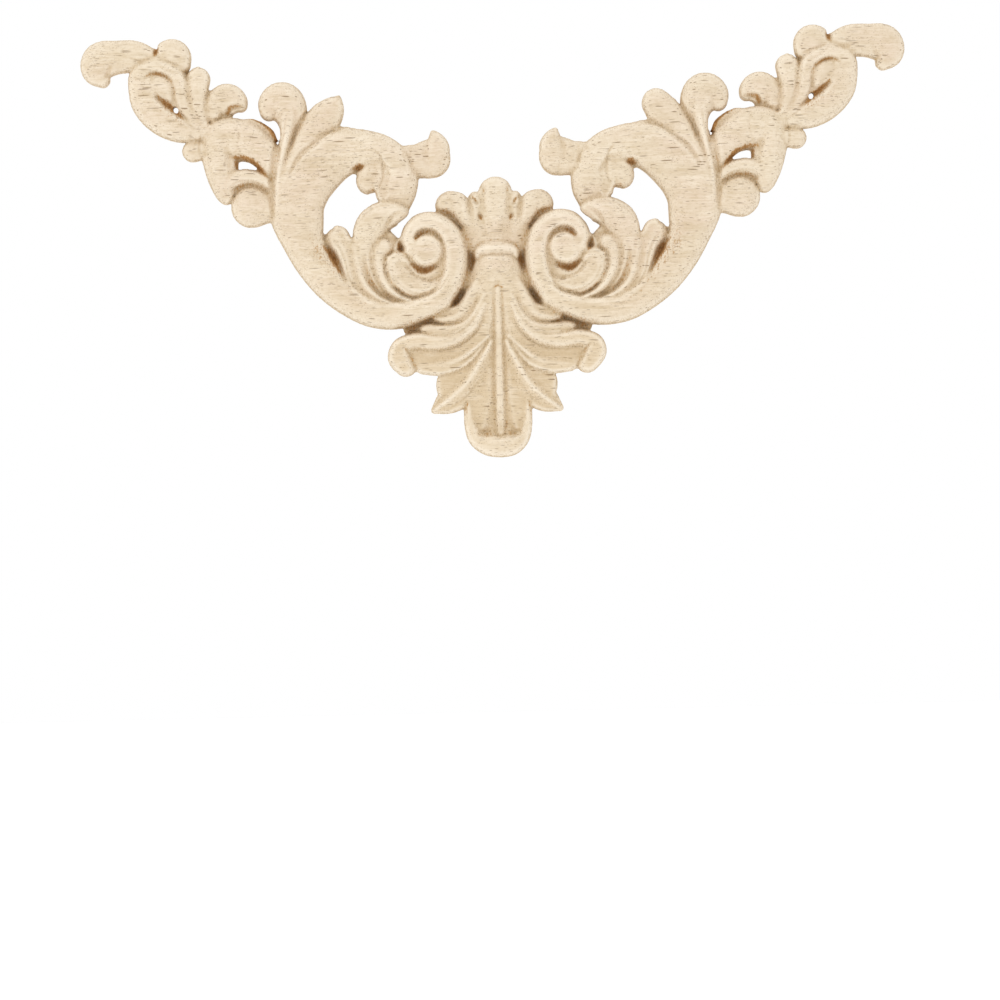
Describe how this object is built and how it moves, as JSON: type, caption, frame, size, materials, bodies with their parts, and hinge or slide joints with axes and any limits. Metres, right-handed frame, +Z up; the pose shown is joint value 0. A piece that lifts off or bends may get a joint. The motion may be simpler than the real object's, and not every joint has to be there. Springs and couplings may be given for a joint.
{
  "type": "wooden corner onlay",
  "caption": "Carved wooden corner onlay: pierced acanthus scrolls spread from a centre leaf along two arms, with a flat back to glue on.",
  "frame": {"origin": "on the flat back, under the collar that binds the centre leaf, on the line of its midrib", "axes": "+X across the onlay from the tip of one arm to the other, +Y out of the back into what it is glued to, so the carved front faces -Y, +Z up, away from the point of the centre leaf"},
  "size_m": [0.22, 0.009, 0.1136],
  "materials": {
    "bare_wood": "bare, machine carved, unsanded and unfinished"
  },
  "bodies": {
    "root": {"corner_onlay": "bare_wood"}
  },
  "joints": []
}
